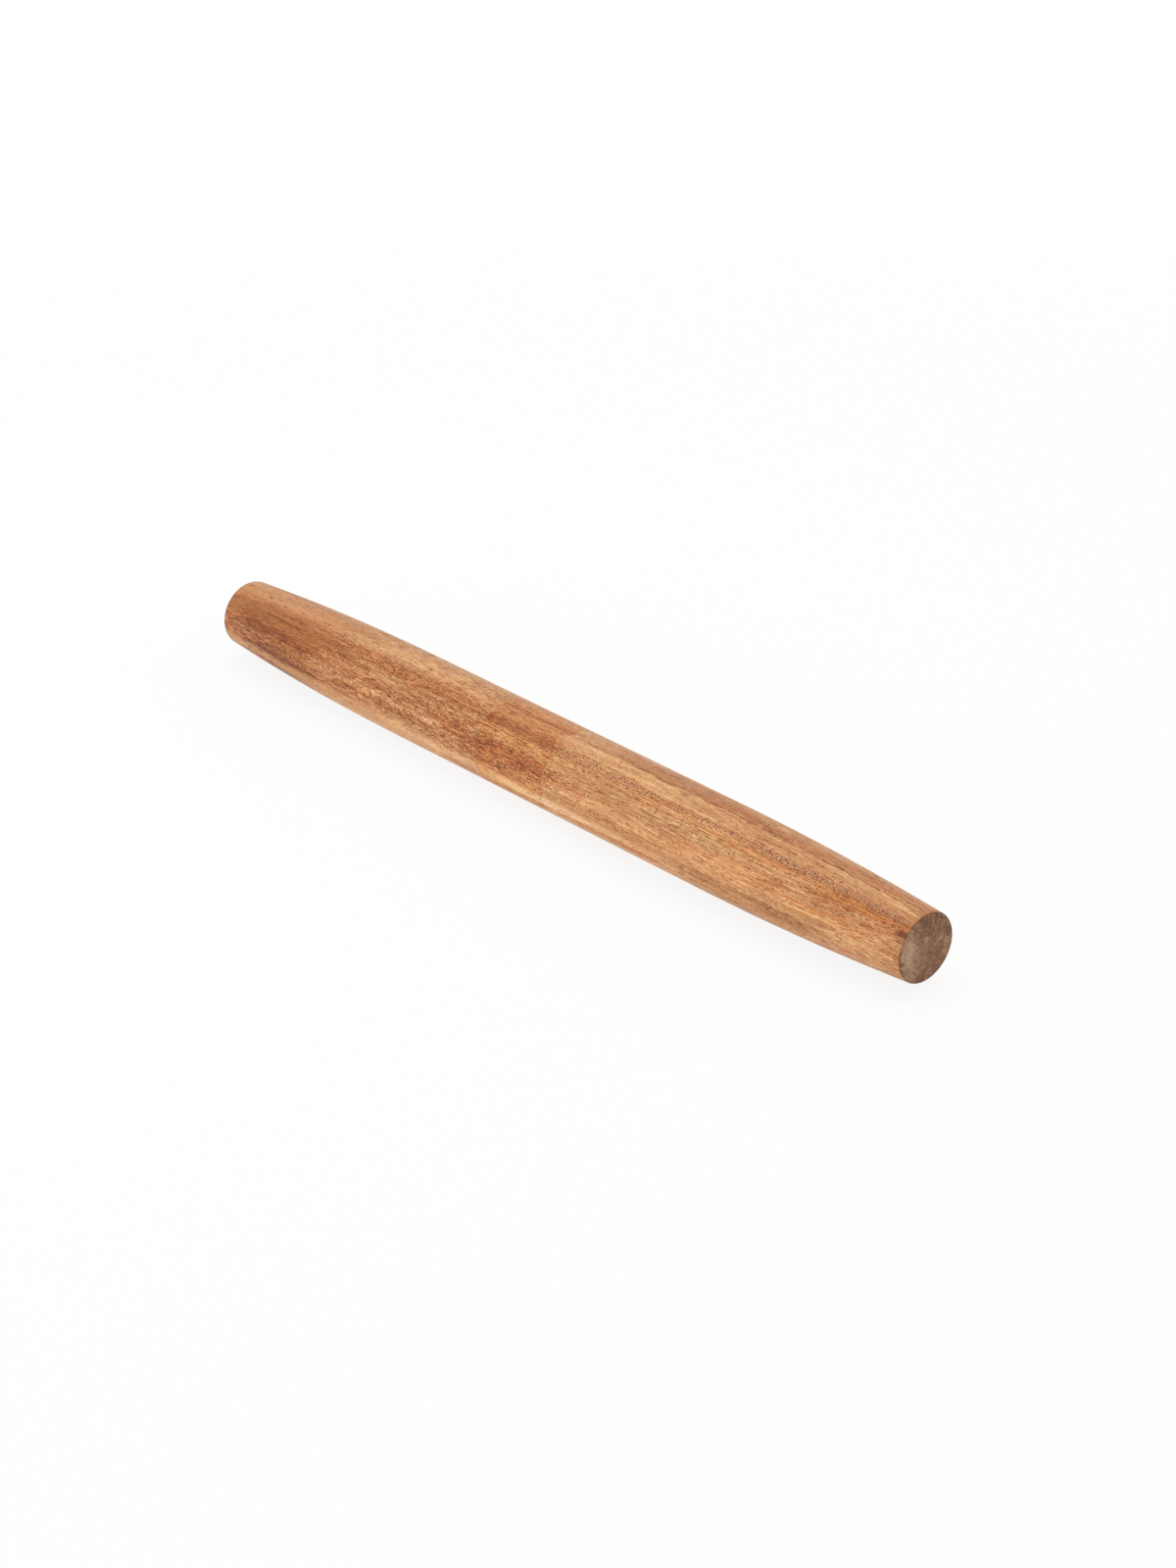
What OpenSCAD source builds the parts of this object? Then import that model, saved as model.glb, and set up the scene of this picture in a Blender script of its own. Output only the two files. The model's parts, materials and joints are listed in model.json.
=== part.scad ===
// French rolling pin, turned from one length of hardwood.
// A straight barrel runs into a long curved taper at each end, which takes the place of
// handles. Each end is cut off flat, and the edge round its face is softened.
// Millimetres. The pin lies along X, +Z is up, and the origin is at its centre.

/* [Length] */
// Whole length, from one end face to the other
pin_len = 450; // [300:1:600]
// Length of the straight barrel, which rolls flat on the dough
barrel_len = 204; // [80:1:280]

/* [Thickness] */
// Diameter of the straight barrel
barrel_d = 41.4; // [34:0.1:60]
// Diameter that each taper comes down to in the plane of its end face
end_d = 32.2; // [20:0.1:40]

/* [Edges] */
// Radius of the softened edge round each end face
edge_r = 1.4; // [0.4:0.1:6]

/* [Hidden] */

wood_colour = [0.76, 0.53, 0.33];

// Facets round the pin, round a softened edge, and in the whole circle of a taper's curve
turning_fn = 180;
edge_fn = 96;
taper_fn = 1440;

barrel_r = barrel_d / 2;
end_r = end_d / 2;

// Distances along the pin, measured from its centre
barrel_end = barrel_len / 2;
pin_end = pin_len / 2;

// The taper's curve leaves the barrel without a corner and reaches end_r at the end face
taper_len = pin_end - barrel_end;
taper_drop = barrel_r - end_r;
taper_curve_r = (taper_len ^ 2 + taper_drop ^ 2) / (2 * taper_drop);
taper_curve_centre = [barrel_r - taper_curve_r, barrel_end];

// Radius of the taper at a distance along the pin
function taper_r(along) = taper_curve_centre.x + sqrt(taper_curve_r ^ 2 - (along - barrel_end) ^ 2);

// The softened edge is a quarter round, as wide as the taper is where the quarter starts.
// The taper slopes, so its curve runs on inside the quarter and crosses it a little later.
edge_along = pin_end - edge_r;
edge_centre = [taper_r(edge_along) - edge_r, edge_along];
edge_start = edge_along + edge_r * (edge_along - barrel_end) / taper_curve_r;

// Half section of the barrel, from the axis out
module barrel_section() {
    translate([0, -barrel_end])
        square([barrel_r, barrel_len]);
}

// Half section of a stub with the pin's flat end face and softened edge, before it is tapered
module end_section() {
    translate([0, barrel_end]) {
        square([barrel_r, edge_start - barrel_end]);
        square([edge_centre.x, taper_len]);
    }
    translate(edge_centre)
        circle(r = edge_r, $fn = edge_fn);
}

// Half section of one taper, from the barrel to the end face
module taper_section() {
    intersection() {
        end_section();
        translate(taper_curve_centre)
            circle(r = taper_curve_r, $fn = taper_fn);
    }
}

// Half section of the whole pin, with its axis along Y
module pin_section() {
    barrel_section();
    for (side = [0, 1])
        mirror([0, side])
            taper_section();
}

// The whole pin: one solid piece of wood
module rolling_pin() {
    color(wood_colour)
        rotate([0, 90, 0])
            rotate_extrude($fn = turning_fn)
                pin_section();
}

rolling_pin();
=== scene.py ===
"""French rolling pin: the finish of one turned length of hardwood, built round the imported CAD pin.

Lengths are in metres in the pin's own frame: +X along its axis, +Z up, the origin at its centre. In the
wood's material they are in mm. Angles round the pin are in degrees from +Z, and grow towards -Y, the side
that faces the camera. Colours are written as they look on a screen, from 0 to 255.
"""

import json
import math

import bpy
import numpy as np
from mathutils import Matrix, Vector


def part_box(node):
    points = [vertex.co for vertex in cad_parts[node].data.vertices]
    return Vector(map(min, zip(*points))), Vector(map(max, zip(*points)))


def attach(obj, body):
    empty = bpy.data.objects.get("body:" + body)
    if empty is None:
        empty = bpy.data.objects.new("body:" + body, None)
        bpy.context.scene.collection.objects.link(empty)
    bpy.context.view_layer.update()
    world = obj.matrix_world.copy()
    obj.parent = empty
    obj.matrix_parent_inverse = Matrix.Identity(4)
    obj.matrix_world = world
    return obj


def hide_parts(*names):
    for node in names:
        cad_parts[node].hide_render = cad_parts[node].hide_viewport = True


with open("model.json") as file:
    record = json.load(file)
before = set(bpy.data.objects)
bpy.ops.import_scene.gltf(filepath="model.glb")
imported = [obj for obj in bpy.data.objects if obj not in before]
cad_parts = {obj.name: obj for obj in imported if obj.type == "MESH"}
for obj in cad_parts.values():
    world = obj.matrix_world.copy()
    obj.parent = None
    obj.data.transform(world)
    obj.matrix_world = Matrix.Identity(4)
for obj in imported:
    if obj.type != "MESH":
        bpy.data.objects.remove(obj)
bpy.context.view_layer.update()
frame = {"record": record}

MM = 0.001

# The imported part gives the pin's half length, and its straight barrel's radius and half length
BARREL = next(m for m in frame["record"]["mounts"] if m["name"] == "barrel")["dims"]
PIN_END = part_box("rolling_pin")[1].x
BARREL_R = BARREL["r_mm"] * MM
BARREL_END = BARREL["length_mm"] * MM / 2

# The part's other sizes: the radius at its ends, and the radius of the softened edge there
END_R = 16.1 * MM
EDGE_R = 1.4 * MM

# The edge was eased by hand: rounder by a share on one side (degrees), and with three faint lobes
EASED_MOST_AT = 205
EASED_MORE = 0.45
EDGE_LOBES = 0.06

# Sanding leaves low places. Each wave of them has the length along the pin in which it turns by one radian
SANDING_DEPTH = 0.06 * MM
LONG_WAVE = 31 * MM
SHORT_WAVE = 17 * MM
WINDING_WAVE = 60 * MM
WINDING_SHARE = 0.6

# How finely the mesh is divided: columns round the pin, and rows over each part of half a section
AROUND = 192
FACE_ROWS = 9
EDGE_ROWS = 9
TAPER_ROWS = 64
BARREL_ROWS = 40
END_ROWS = FACE_ROWS + EDGE_ROWS - 1

# The angle round the pin that faces away from the camera, where the baking map is cut
CUT_ANGLE = 232

# The baking map, a square with sides of 1: the strip of the turned surface, and a disc above it for each end
STRIP_LENGTH = 0.98
STRIP_LOW = 0.01
STRIP_HEIGHT = 0.79
DISC_R = 0.088
DISC_MIDDLE = 0.905
LEFT_DISC = 0.38
RIGHT_DISC = 0.62

# Camera: the photograph's viewing angle, with the frame taken as 1200 x 1600
CAMERA_AZIMUTH = 47.08
CAMERA_ELEVATION = 27.54
CAMERA_DISTANCE = 1.7717
CAMERA_AIM = (0.0112, 0.0066, -0.0069)
CAMERA_LENS = 90
SENSOR = 36
CLIP_START = 0.05
CLIP_END = 50

# Lamps that face the origin: name, place, width, height (m) and power (W)
LAMPS = (
    ("top_softbox", (-0.2, 0.1, 1.55), 1.4, 1.0, 8),
    ("front_softbox", (-0.3, -1.8, 0.25), 2.4, 0.6, 9),
)

# How bright the sky lights the pin, when the camera sees it as 1
SKY_LIGHT = 0.72

# The floor glows white to the camera: wholly far from the pin, and less near it, where its shadow shows
FLOOR_HALF = 6.0
GLOW_AT_PIN = 0.88
GLOW_STARTS = 0.35
GLOW_WHOLE = 1.1


# Surface of the pin

def taper_radius(along):
    """Turned radius at a distance from the pin's centre.

    The barrel's radius up to BARREL_END. Past it, a circle that leaves the barrel without a corner
    and falls to END_R at the end face: its radius is (length^2 + drop^2) / (2 drop).
    """
    length = PIN_END - BARREL_END
    drop = BARREL_R - END_R
    curve_r = (length**2 + drop**2) / (2 * drop)
    past = np.clip(np.abs(along) - BARREL_END, 0, length)
    return BARREL_R - curve_r + np.sqrt(curve_r**2 - past**2)


def edge_radius(angle):
    """Radius of the softened edge at an angle round the end, largest at EASED_MOST_AT."""
    turn = np.radians(angle - EASED_MOST_AT)
    eased = EASED_MORE * (0.5 + 0.5 * np.cos(turn)) ** 2
    return EDGE_R * (1 + eased + EDGE_LOBES * np.cos(3 * turn + 1))


def sanding(along, angle):
    """Depth of the places that sanding left low, never negative.

    Three waves are added: a long and a short one along the pin, each leaning to and fro on its way
    round, and a weaker one that winds round it. The sum is brought to between 0 and SANDING_DEPTH.
    """
    turn = np.radians(angle)
    long_wave = np.sin(along / LONG_WAVE + 2 * np.cos(turn + 0.7))
    short_wave = np.sin(along / SHORT_WAVE - 1.5 * np.cos(2 * turn - 0.4) + 1.9)
    winding = WINDING_SHARE * np.cos(3 * turn + along / WINDING_WAVE)
    most = 2 + WINDING_SHARE
    return SANDING_DEPTH * (long_wave + short_wave + winding + most) / (2 * most)


def half_section(angle):
    """Stations from the centre of the right end face to the middle of the barrel, for every angle.

    Returns the distance along the pin and the radius, each an array of stations by angles. The face is
    a flat disc, the edge a quarter round as wide as the taper where it starts, and the rest is turned.
    """
    edge = edge_radius(angle)[None, :]
    edge_along = PIN_END - edge
    flat_r = taper_radius(edge_along) - edge
    across = np.linspace(0, 1, FACE_ROWS)[:, None]
    turn = np.linspace(0, np.pi / 2, EDGE_ROWS)[1:, None]
    taper = BARREL_END + (edge_along - BARREL_END) * np.linspace(1, 0, TAPER_ROWS)[1:, None]
    straight = BARREL_END * np.linspace(1, 0, BARREL_ROWS)[1:, None] + 0 * edge
    turned = np.concatenate([taper, straight])
    along = np.concatenate([PIN_END + 0 * across * edge, edge_along + edge * np.cos(turn), turned])
    radius = np.concatenate([across * flat_r, flat_r + edge * np.sin(turn), taper_radius(turned)])
    return along, radius


def pin_points():
    """Points of the pin in rows from its right end to its left end, and columns round it from CUT_ANGLE.

    Two half sections, end to end, are swept round the X axis. All points of the first row lie on the
    centre of the right end face, and all of the last row on that of the left one.
    """
    angle = CUT_ANGLE + 360 * np.arange(AROUND) / AROUND
    along, radius = half_section(angle)
    along = np.concatenate([along, -along[-2::-1]])
    radius = np.concatenate([radius, radius[-2::-1]])
    sanded = slice(END_ROWS, len(along) - END_ROWS)
    radius[sanded] -= sanding(along[sanded], angle[None, :])
    turn = np.radians(angle)[None, :]
    return np.stack([along, -radius * np.sin(turn), radius * np.cos(turn)], axis=-1)


def ring_corners(rows):
    """Rows and columns of the corners of the four-sided faces, which lie between the rings."""
    row, column = np.meshgrid(np.arange(1, rows - 2), np.arange(AROUND), indexing="ij")
    corner_rows = np.stack([row, row + 1, row + 1, row], axis=-1)
    corner_columns = np.stack([column, column, column + 1, column + 1], axis=-1)
    return corner_rows.reshape(-1, 4), corner_columns.reshape(-1, 4)


def fan_corners(rows):
    """Rows and columns of the corners of the triangles, which meet at the centres of the end faces."""
    column = np.arange(AROUND)
    first, last = 0 * column, 0 * column + rows - 1
    corner_rows = np.array([[first, first + 1, first + 1], [last, last - 1, last - 1]])
    corner_columns = np.array([[column, column, column + 1], [column, column + 1, column]])
    return tuple(corners.transpose(0, 2, 1).reshape(-1, 3) for corners in (corner_rows, corner_columns))


def bake_places(row, column, points):
    """Places on the baking map, one for each corner of some faces.

    On the strip, the distance along the pin runs to the right and the angle upwards. On a disc, the end
    and its edge are seen along the axis, and the barrel's radius would come out as DISC_R.
    """
    x, y, z = np.moveaxis(points[row, column % AROUND], -1, 0)
    along_strip = 0.5 + STRIP_LENGTH / 2 * x / PIN_END
    strip = np.stack([along_strip, STRIP_LOW + STRIP_HEIGHT * column / AROUND], axis=-1)
    disc = np.stack([y, z], axis=-1) * (DISC_R / BARREL_R)
    right = (row.max(axis=-1) < END_ROWS)[:, None, None]
    left = (row.min(axis=-1) > len(points) - 1 - END_ROWS)[:, None, None]
    placed = np.where(right, disc + (RIGHT_DISC, DISC_MIDDLE), strip)
    return np.where(left, disc + (LEFT_DISC, DISC_MIDDLE), placed)


def add_object(name, data):
    """A new object in the scene."""
    made = bpy.data.objects.new(name, data)
    bpy.context.scene.collection.objects.link(made)
    return made


def turned_pin():
    """The whole pin as one closed mesh, with its map for baking."""
    points = pin_points()
    rows = len(points)

    def vertex(row, column):
        """Number of the vertex: 0 and 1 are the centres of the end faces, and the rings follow."""
        ring = 2 + (row - 1) * AROUND + column % AROUND
        return np.where(row == 0, 0, np.where(row == rows - 1, 1, ring))

    corners = ring_corners(rows), fan_corners(rows)
    vertices = np.concatenate([points[:1, 0], points[-1:, 0], points[1:-1].reshape(-1, 3)])
    faces = [face for row, column in corners for face in vertex(row, column).tolist()]
    mesh = bpy.data.meshes.new("turned_pin")
    mesh.from_pydata(vertices.tolist(), [], faces)
    places = np.concatenate([bake_places(row, column, points).reshape(-1, 2) for row, column in corners])
    mesh.uv_layers.new(name="OFBake").uv.foreach_set("vector", places.astype(np.float32).ravel())
    mesh.polygons.foreach_set("use_smooth", np.ones(len(faces), bool))
    mesh.update()
    return add_object("turned_pin", mesh)


# Node helpers

def linear(colour):
    """A screen colour from 0 to 255 as the linear colour with alpha that a socket takes."""
    share = np.array(colour) / 255
    channels = np.where(share <= 0.04045, share / 12.92, ((share + 0.055) / 1.055) ** 2.4)
    return (*channels.tolist(), 1.0)


WHITE = linear((255, 255, 255))


def empty_tree(owner):
    """The node tree of a material or a world, with no nodes in it."""
    owner.use_nodes = True
    owner.node_tree.nodes.clear()
    return owner.node_tree


def feed(tree, socket, value):
    """Links an output into a socket, or sets a constant on it."""
    if isinstance(value, bpy.types.NodeSocket):
        tree.links.new(value, socket)
    else:
        socket.default_value = value


def put(tree, kind, *values, **settings):
    """Adds a node with its settings, and feeds its inputs in order."""
    node = tree.nodes.new(kind)
    for key, value in settings.items():
        setattr(node, key, value)
    for socket, value in zip(node.inputs, values):
        feed(tree, socket, value)
    return node


def calc(tree, operation, *values, clamp=False):
    """A sum, a product or another calculation with plain values."""
    return put(tree, "ShaderNodeMath", *values, operation=operation, use_clamp=clamp).outputs[0]


def times(tree, first, second, clamp=False):
    """The product of two plain values."""
    return calc(tree, "MULTIPLY", first, second, clamp=clamp)


def vector_calc(tree, operation, *values, result=0):
    """A calculation with vectors."""
    return put(tree, "ShaderNodeVectorMath", *values, operation=operation).outputs[result]


def scaled(tree, vector, factor):
    """A vector times a plain value."""
    node = put(tree, "ShaderNodeVectorMath", vector, operation="SCALE")
    feed(tree, node.inputs["Scale"], factor)
    return node.outputs[0]


def weighted(tree, terms):
    """The sum of (weight, value) terms."""
    total = 0.0
    for weight, value in terms:
        total = calc(tree, "MULTIPLY_ADD", value, weight, total)
    return total


def smooth(tree, value, low, high):
    """0 below low, 1 above high, and an S-curve between. A low above the high turns it round."""
    settings = {"interpolation_type": "SMOOTHSTEP", "clamp": False}
    return put(tree, "ShaderNodeMapRange", value, low, high, **settings).outputs[0]


def blend(tree, factor, below, above, how="MIX"):
    """Mixes a colour by a factor with a screen colour, or with another output."""
    mix = put(tree, "ShaderNodeMix", data_type="RGBA", blend_type=how)
    if isinstance(above, tuple):
        above = linear(above)
    for socket, value in zip((mix.inputs[0], mix.inputs[6], mix.inputs[7]), (factor, below, above)):
        feed(tree, socket, value)
    return mix.outputs[2]


def tones(tree, value, stops):
    """A colour ramp through (position, screen colour) stops."""
    node = put(tree, "ShaderNodeValToRGB", value)
    ramp = node.color_ramp
    while len(ramp.elements) < len(stops):
        ramp.elements.new(0.5)
    for element, (position, colour) in zip(ramp.elements, stops):
        element.position = position
        element.color = linear(colour)
    return node.outputs[0]


def group(name, labels, result):
    """An empty shader node group, in which Place and Centre are vectors and all else plain values.

    Returns its tree, its inputs by their labels, and the socket that takes its result.
    """
    tree = bpy.data.node_groups.new(name, "ShaderNodeTree")
    for label, side in (*((label, "INPUT") for label in labels), (result, "OUTPUT")):
        kind = "NodeSocketVector" if label in ("Place", "Centre") else "NodeSocketFloat"
        tree.interface.new_socket(label, in_out=side, socket_type=kind)
    given = tree.nodes.new("NodeGroupInput").outputs
    return tree, given, tree.nodes.new("NodeGroupOutput").inputs[0]


def use(tree, made, **values):
    """Places a node group, feeds its inputs by their labels, and returns its result."""
    node = tree.nodes.new("ShaderNodeGroup")
    node.node_tree = made
    for label, value in values.items():
        feed(tree, node.inputs[label], value)
    return node.outputs[0]


# Figure of the wood, with some painted light: what is placed

# The figure as a turner would describe it, with some painted light: a painted sheen along the top and
# painted bounce light on the lower side. Each row is: a name, where it starts and ends along the pin and the
# length of its fade there (mm), its lower and upper angle and the softness of its sides (degrees), how much
# lighter (+) or darker (-) it is, and how much redder (+) or more olive (-)
FIGURE = (
    ("dark left end", -240, -158, 40, 30, 101, 8, -0.075, 0.3),
    ("shaded left flank", -225, -155, 30, 22, 58, 6, -0.03, 0.05),
    ("shade by the left rim", -226, -178, 20, -3, 9, 5, -0.035, 0.0),
    ("lower edge of the dark red band", -225, -152, 20, 64, 75, 4, -0.03, 0.3),
    ("shade under the light part of the figured band", -140, -54, 24, 80, 95, 5, -0.02, 0.2),
    ("brown line by the left end", -226, -176, 16, 87, 93, 4, -0.04, 0.2),
    ("left end cap", -260, -196, 50, -60, 170, 10, 0.0, 0.0),
    ("orange band by the left end", -240, -150, 40, 14, 34, 6, 0.0, 0.35),
    ("pale left top", -240, -186, 30, -16, 4, 8, 0.045, -0.4),
    ("dark red band", -205, -138, 20, 57, 70, 5, -0.105, 0.5),
    ("dark line", -200, -171, 8, 40.5, 43.5, 2, -0.12, 0.0),
    ("second dark line", -216, -182, 12, 50.5, 52.5, 2, -0.06, 0.1),
    ("pored band", -180, -45, 40, 38, 58, 6, -0.04, 0.1),
    ("light patch in the pored band", -128, -100, 12, 41, 57, 5, 0.055, -0.5),
    ("dark start of the pored band", -152, -124, 12, 33, 51, 5, -0.045, 0.15),
    ("dark streak under the figured band", -207, -150, 24, 93, 99, 2.5, -0.11, 0.9),
    ("shade round the dark streak", -210, -122, 30, 82, 104, 8, -0.05, 0.1),
    ("brown line under the dark streak", -175, -128, 16, 93, 99, 4, -0.045, 0.1),
    ("dark flecked line", -135, -66, 24, 81, 88, 4, -0.10, 0.2),
    ("figured band", -210, -160, 30, 69, 84, 6, -0.035, -0.1),
    ("shade under the figured band", -195, -150, 16, 82, 92, 4, -0.03, 0.2),
    ("shade at the end of the dark streak", -170, -130, 14, 96, 104, 4, -0.04, 0.3),
    ("light part of the figured band", -150, -54, 20, 70, 78, 5, 0.06, -0.2),
    ("pale top", -125, -60, 30, -6, 17, 7, 0.08, -0.3),
    ("light top before the ring", -56, -36, 8, -4, 20, 6, 0.05, 0.0),
    ("light line in the brown crown", 110, 176, 20, -30, -14, 6, 0.04, -0.1),
    ("brown line in the light top", -75, -36, 10, 4, 10, 4, -0.04, 0.1),
    ("light strip above the orange streak", -150, -40, 30, 12, 26, 5, 0.04, -0.1),
    ("shade above the orange streak", -100, -52, 20, 16, 28, 5, -0.035, 0.1),
    # Painted light: the pale lower band and the pale belly are partly paler wood and partly painted bounce
    # light from the floor
    ("pale lower band with painted bounce light", -95, 50, 80, 100, 112, 5, 0.06, -0.1),
    ("pale belly with painted bounce light", -150, 95, 30, 104, 140, 8, 0.09, 0.1),
    ("shade on the left belly", -150, -104, 16, 106, 123, 6, -0.045, 0.0),
    ("brown line before the ring", -55, -14, 12, 106, 111, 3, -0.045, 0.2),
    ("shade on the belly before the ring", -54, -34, 8, 111, 130, 5, -0.045, 0.2),
    ("pale line above the palest streak with painted bounce light", -14, 11, 8, 99, 105, 3, 0.06, -0.1),
    ("pale line under the palest streak with painted bounce light", -14, 9, 5, 111, 118, 3, 0.15, -0.2),
    ("light lower edge of the red patch", -30, 10, 8, 76, 81, 3, 0.045, 0.0),
    ("pale line on the belly", 12, 62, 14, 94, 105, 3, 0.045, 0.1),
    ("brown line on the belly", 12, 34, 10, 106, 112, 3, -0.11, 0.6),
    ("dark belly by the left end", -204, -160, 20, 116, 150, 8, -0.09, 0.1),
    ("tan belly", -230, 30, 40, 101, 150, 8, 0.0, -0.5),
    # Painted light: partly paler wood and partly painted bounce light from the floor
    ("palest streak with painted bounce light", -24, 40, 24, 105, 117, 5, 0.125, -0.1),
    ("orange upper streak", -150, -35, 40, 26, 41, 6, -0.03, 0.25),
    ("dark pore line", -128, -64, 20, 61, 74, 4, -0.08, 0.3),
    ("dark knot in the figured band", -101, -76, 8, 69, 76, 4, -0.09, 0.2),
    ("orange-red streak", -35, 12, 2, 27, 40, 4, -0.05, 0.55),
    ("dark start of the orange-red streak", -35, -26, 2, 30, 36, 4, -0.03, 0.4),
    ("dark end of the orange-red streak", 0, 11, 5, 30, 38, 3, -0.03, 0.4),
    ("golden side of the tinted stretch", -33, 10, 6, 41, 58, 6, 0.02, -0.4),
    ("orange streak before the tinted stretch", -84, -38, 24, 29, 39, 4, -0.025, 0.5),
    # Painted light: a lighter, less red band along the top, which is a painted sheen
    ("painted sheen on the crown", -110, 20, 40, -40, -7, 9, 0.05, -0.6),
    ("red line in the tinted stretch", -38, 13, 8, 2, 9, 3, -0.07, 0.4),
    ("second red line in the tinted stretch", -12, 10, 8, -3, 3, 3, -0.04, 0.3),
    ("shade at the second ring", -12, 10, 8, 21, 28, 4, -0.045, 0.2),
    ("light stripe in the tinted stretch", -32, 9, 8, 10, 25, 5, 0.04, -0.5),
    ("light crown in the tinted stretch", -34, 12, 10, -10, -2, 5, 0.035, -0.3),
    ("thin top line", 8, 60, 10, 5, 6.5, 1.5, -0.05, 0.2),
    ("top red line", 50, 222, 20, 4.5, 7.5, 1.5, -0.13, 0.4),
    ("pale strip above the red line", 14, 84, 16, 7, 14, 4, 0.03, -0.3),
    ("top brown band", 56, 130, 24, -12, 3, 6, -0.05, 0.2),
    ("right top brown band", 120, 240, 24, -12, 3, 6, -0.02, 0.15),
    ("light top by the right rim", 190, 219, 14, 3, 18, 6, 0.05, -0.1),
    ("pale tan band", 6, 196, 24, 8, 27, 4, 0.065, -0.2),
    ("brown patch in the tan band", 112, 134, 10, 9, 15, 4, -0.06, 0.1),
    ("light tan by the right rim", 203, 219, 8, 6, 15, 4, 0.045, 0.0),
    ("brown line in the tan band", 86, 108, 12, 16, 21, 4, -0.04, 0.2),
    ("tan shade", 130, 200, 30, 15, 28, 5, -0.055, 0.1),
    ("brown line along the tan band", 60, 208, 20, 17, 21, 3, -0.03, 0.15),
    ("red patch", -65, 10, 10, 61, 80, 5, -0.08, 1.0),
    ("redder lower side of the patch", -50, -12, 10, 76, 88, 5, -0.045, 0.6),
    ("brown line in the red patch", -50, -37, 6, 69, 76, 4, -0.04, 0.3),
    ("red edge beyond the ring", 12, 34, 10, 69, 80, 4, -0.05, 0.7),
    ("brown line beyond the ring", 10, 34, 10, 87, 93, 4, -0.04, 0.4),
    ("upper edge of the red patch", -72, -38, 10, 57, 64, 4, -0.06, 0.4),
    ("light part under the red patch", -33, 10, 8, 84, 103, 5, 0.075, 0.3),
    ("dark flecks before the ring", -50, -37, 8, 80, 88, 4, -0.09, 0.6),
    ("dark dashes in the red patch", -56, -26, 10, 67, 75, 4, -0.07, 0.2),
    ("pale red patch beyond it", 12, 56, 16, 64, 76, 4, 0.02, 0.3),
    ("slanting dash", -36, -19, 6, 87.5, 93, 3, -0.13, 0.3),
    ("light patch", -28, 24, 16, 42, 58, 6, 0.055, -0.2),
    ("brown line under the pale band", -70, 80, 40, 118, 124, 5, -0.09, 0.15),
    ("lower red line", 6, 128, 16, 115, 119, 3, -0.09, 0.4),
    ("brown line under the olive band", 96, 178, 16, 112, 118, 4, -0.05, 0.1),
    ("ladder ground", 20, 240, 12, 31, 39, 3, -0.01, 0.4),
    ("shade at the right of the ladder", 160, 225, 16, 27, 33, 3, -0.045, 0.2),
    ("shade round the right of the ladder", 188, 222, 10, 33, 54, 4, -0.035, 0.2),
    ("orange under the ladder", 70, 240, 60, 39, 50, 5, 0.025, 0.4),
    ("orange by the right rim", 176, 216, 16, 33, 62, 7, -0.05, 0.4),
    ("light lines", 50, 180, 20, 49, 58, 5, 0.055, -0.15),
    ("thin dark lines", 118, 178, 14, 51.5, 54, 2, -0.05, 0.0),
    ("light ground of the fine lines", 60, 215, 30, 51, 60, 5, 0.03, -0.2),
    ("light line by the right rim", 182, 206, 10, 44, 50, 4, 0.05, 0.0),
    ("golden lines", 8, 140, 24, 74, 84, 5, 0.085, 0.1),
    ("brown line in the golden ones", 96, 132, 14, 86, 92, 3, -0.03, 0.2),
    ("orange line in the golden ones", 138, 158, 10, 69, 75, 4, -0.045, 0.7),
    ("brown line above the golden ones", 138, 158, 10, 57, 63, 4, -0.04, 0.2),
    ("golden edge", 8, 36, 12, 81, 90, 4, 0.08, -0.1),
    ("golden lines to the right", 140, 219, 24, 70, 81, 5, 0.08, 0.1),
    ("light strip by the right rim", 186, 219, 10, 82, 92, 4, 0.04, 0.0),
    ("light flecks by the right rim", 206, 219, 6, 57, 66, 4, 0.05, 0.0),
    ("light ground in the golden lines", 164, 182, 8, 70, 84, 4, 0.035, 0.1),
    ("orange line to the right", 164, 206, 12, 69, 75, 4, -0.055, 0.7),
    ("golden upper lines", 60, 145, 24, 61, 74, 5, 0.055, 0.1),
    ("brightest golden lines", 104, 142, 14, 63, 71, 4, 0.08, 0.2),
    ("light strip above the olive band", 88, 160, 20, 84, 94, 4, 0.075, -0.3),
    ("lighter belly to the right", 82, 110, 16, 94, 112, 8, 0.03, -0.1),
    ("dark lines in the golden ones", 138, 157, 10, 79, 88, 4, -0.075, 0.3),
    ("olive-brown band", 96, 192, 30, 95, 112, 6, -0.05, -0.5),
    ("pale spot by the right end", 178, 210, 14, 88, 106, 6, 0.075, -0.2),
    ("light line under the olive band", 86, 134, 10, 111, 117, 3, 0.09, -0.2),
    ("brown line by the light strip", 86, 109, 8, 81, 87, 3, -0.055, 0.4),
    ("light fleck in the dark flecked line", -75, -53, 8, 75, 81, 3, 0.05, -0.3),
    ("light start of the dark flecked line", -150, -127, 8, 81, 87, 3, 0.05, -0.5),
    ("brown line before the light patch", -54, -36, 6, 51, 57, 3, -0.05, 0.3),
    ("light edge above the ladder", 60, 86, 8, 25, 31, 3, 0.05, -0.4),
    ("light strip under the golden lines", 60, 85, 8, 93, 99, 3, 0.05, -0.2),
    ("brown line by the lower right rim", 204, 219, 6, 105, 111, 3, -0.055, 0.0),
    ("dark line on the left belly", -202, -174, 8, 123, 130, 4, -0.09, 0.2),
    ("dark line on the belly before the ring", -54, -34, 8, 123, 130, 4, -0.05, 0.2),
    ("light line above the burnt fleck", 200, 218, 6, 51, 57, 3, 0.045, -0.2),
    ("light line under the pale spot", 183, 204, 6, 105, 111, 3, 0.05, -0.2),
    ("brown line in the painted sheen on the crown", -53, -34, 6, -21, -15, 3, -0.05, 0.15),
    ("brown lower side of the dark red band", -176, -152, 8, 63, 69, 3, -0.045, 0.4),
    ("red line on the left belly", -200, -176, 8, 99, 105, 3, -0.05, 0.5),
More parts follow.
